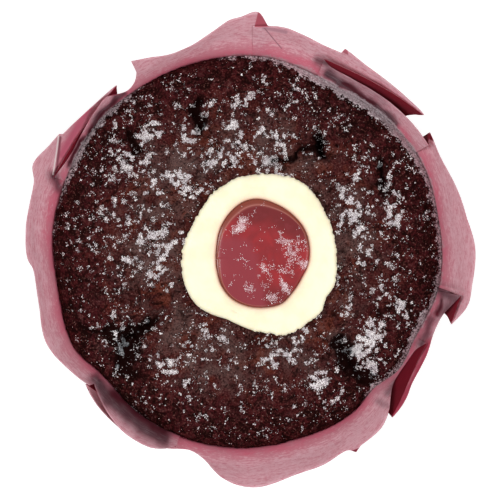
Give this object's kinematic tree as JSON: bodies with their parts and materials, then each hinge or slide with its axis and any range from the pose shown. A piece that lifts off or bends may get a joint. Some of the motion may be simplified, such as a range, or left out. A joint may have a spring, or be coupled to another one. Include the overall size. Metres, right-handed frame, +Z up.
{
  "type": "muffin",
  "caption": "Domed chocolate muffin in a pleated, flared paper case, topped with a ring of cream round a pool of cherry jam and dusted with icing sugar.",
  "frame": {"origin": "middle of the outline, on the surface that the case's foot stands on", "axes": "+Z up through the muffin, +Y towards the case's tallest petal"},
  "size_m": [0.0923, 0.0975, 0.0593],
  "materials": {
    "case_paper": "matte greaseproof paper, dusty burgundy",
    "cake_crumb": null,
    "cream": null,
    "jam": null
  },
  "bodies": {
    "root": {"paper_case": "case_paper", "cake": "cake_crumb", "cream": "cream", "jam": "jam"}
  },
  "joints": []
}
